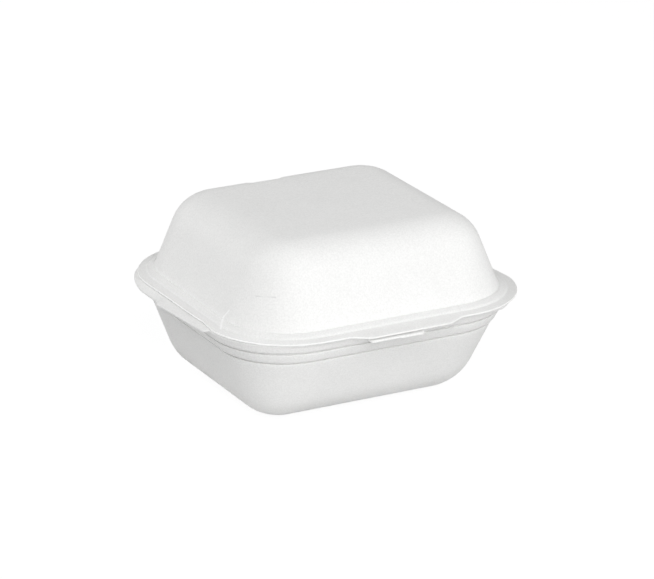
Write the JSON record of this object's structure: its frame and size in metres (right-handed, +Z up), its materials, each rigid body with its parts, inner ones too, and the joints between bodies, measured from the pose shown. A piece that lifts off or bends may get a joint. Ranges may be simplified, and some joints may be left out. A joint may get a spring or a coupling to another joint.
{
  "type": "foam clamshell container",
  "caption": "White foam clamshell food container with a domed hinged lid, sloped tray, stepped rims, front closing lip and side pull tabs.",
  "frame": {"origin": "middle of the container's outline, on the surface it stands on", "axes": "+X to the right seen from the front, +Y from the front lip towards the hinge, +Z up"},
  "size_m": [0.15, 0.1442, 0.0822],
  "materials": {
    "foam": "matte white expanded polystyrene foam with a fine skin"
  },
  "bodies": {
    "tray": {"tray": "foam"},
    "lid": {"lid": "foam"}
  },
  "joints": [
    {"name": "lid_hinge", "type": "hinge", "parent": "tray", "child": "lid", "pos_m": [0, 0.07222, 0.04575], "axis": [-1, 0, 0], "range_deg": [0, 180]}
  ]
}
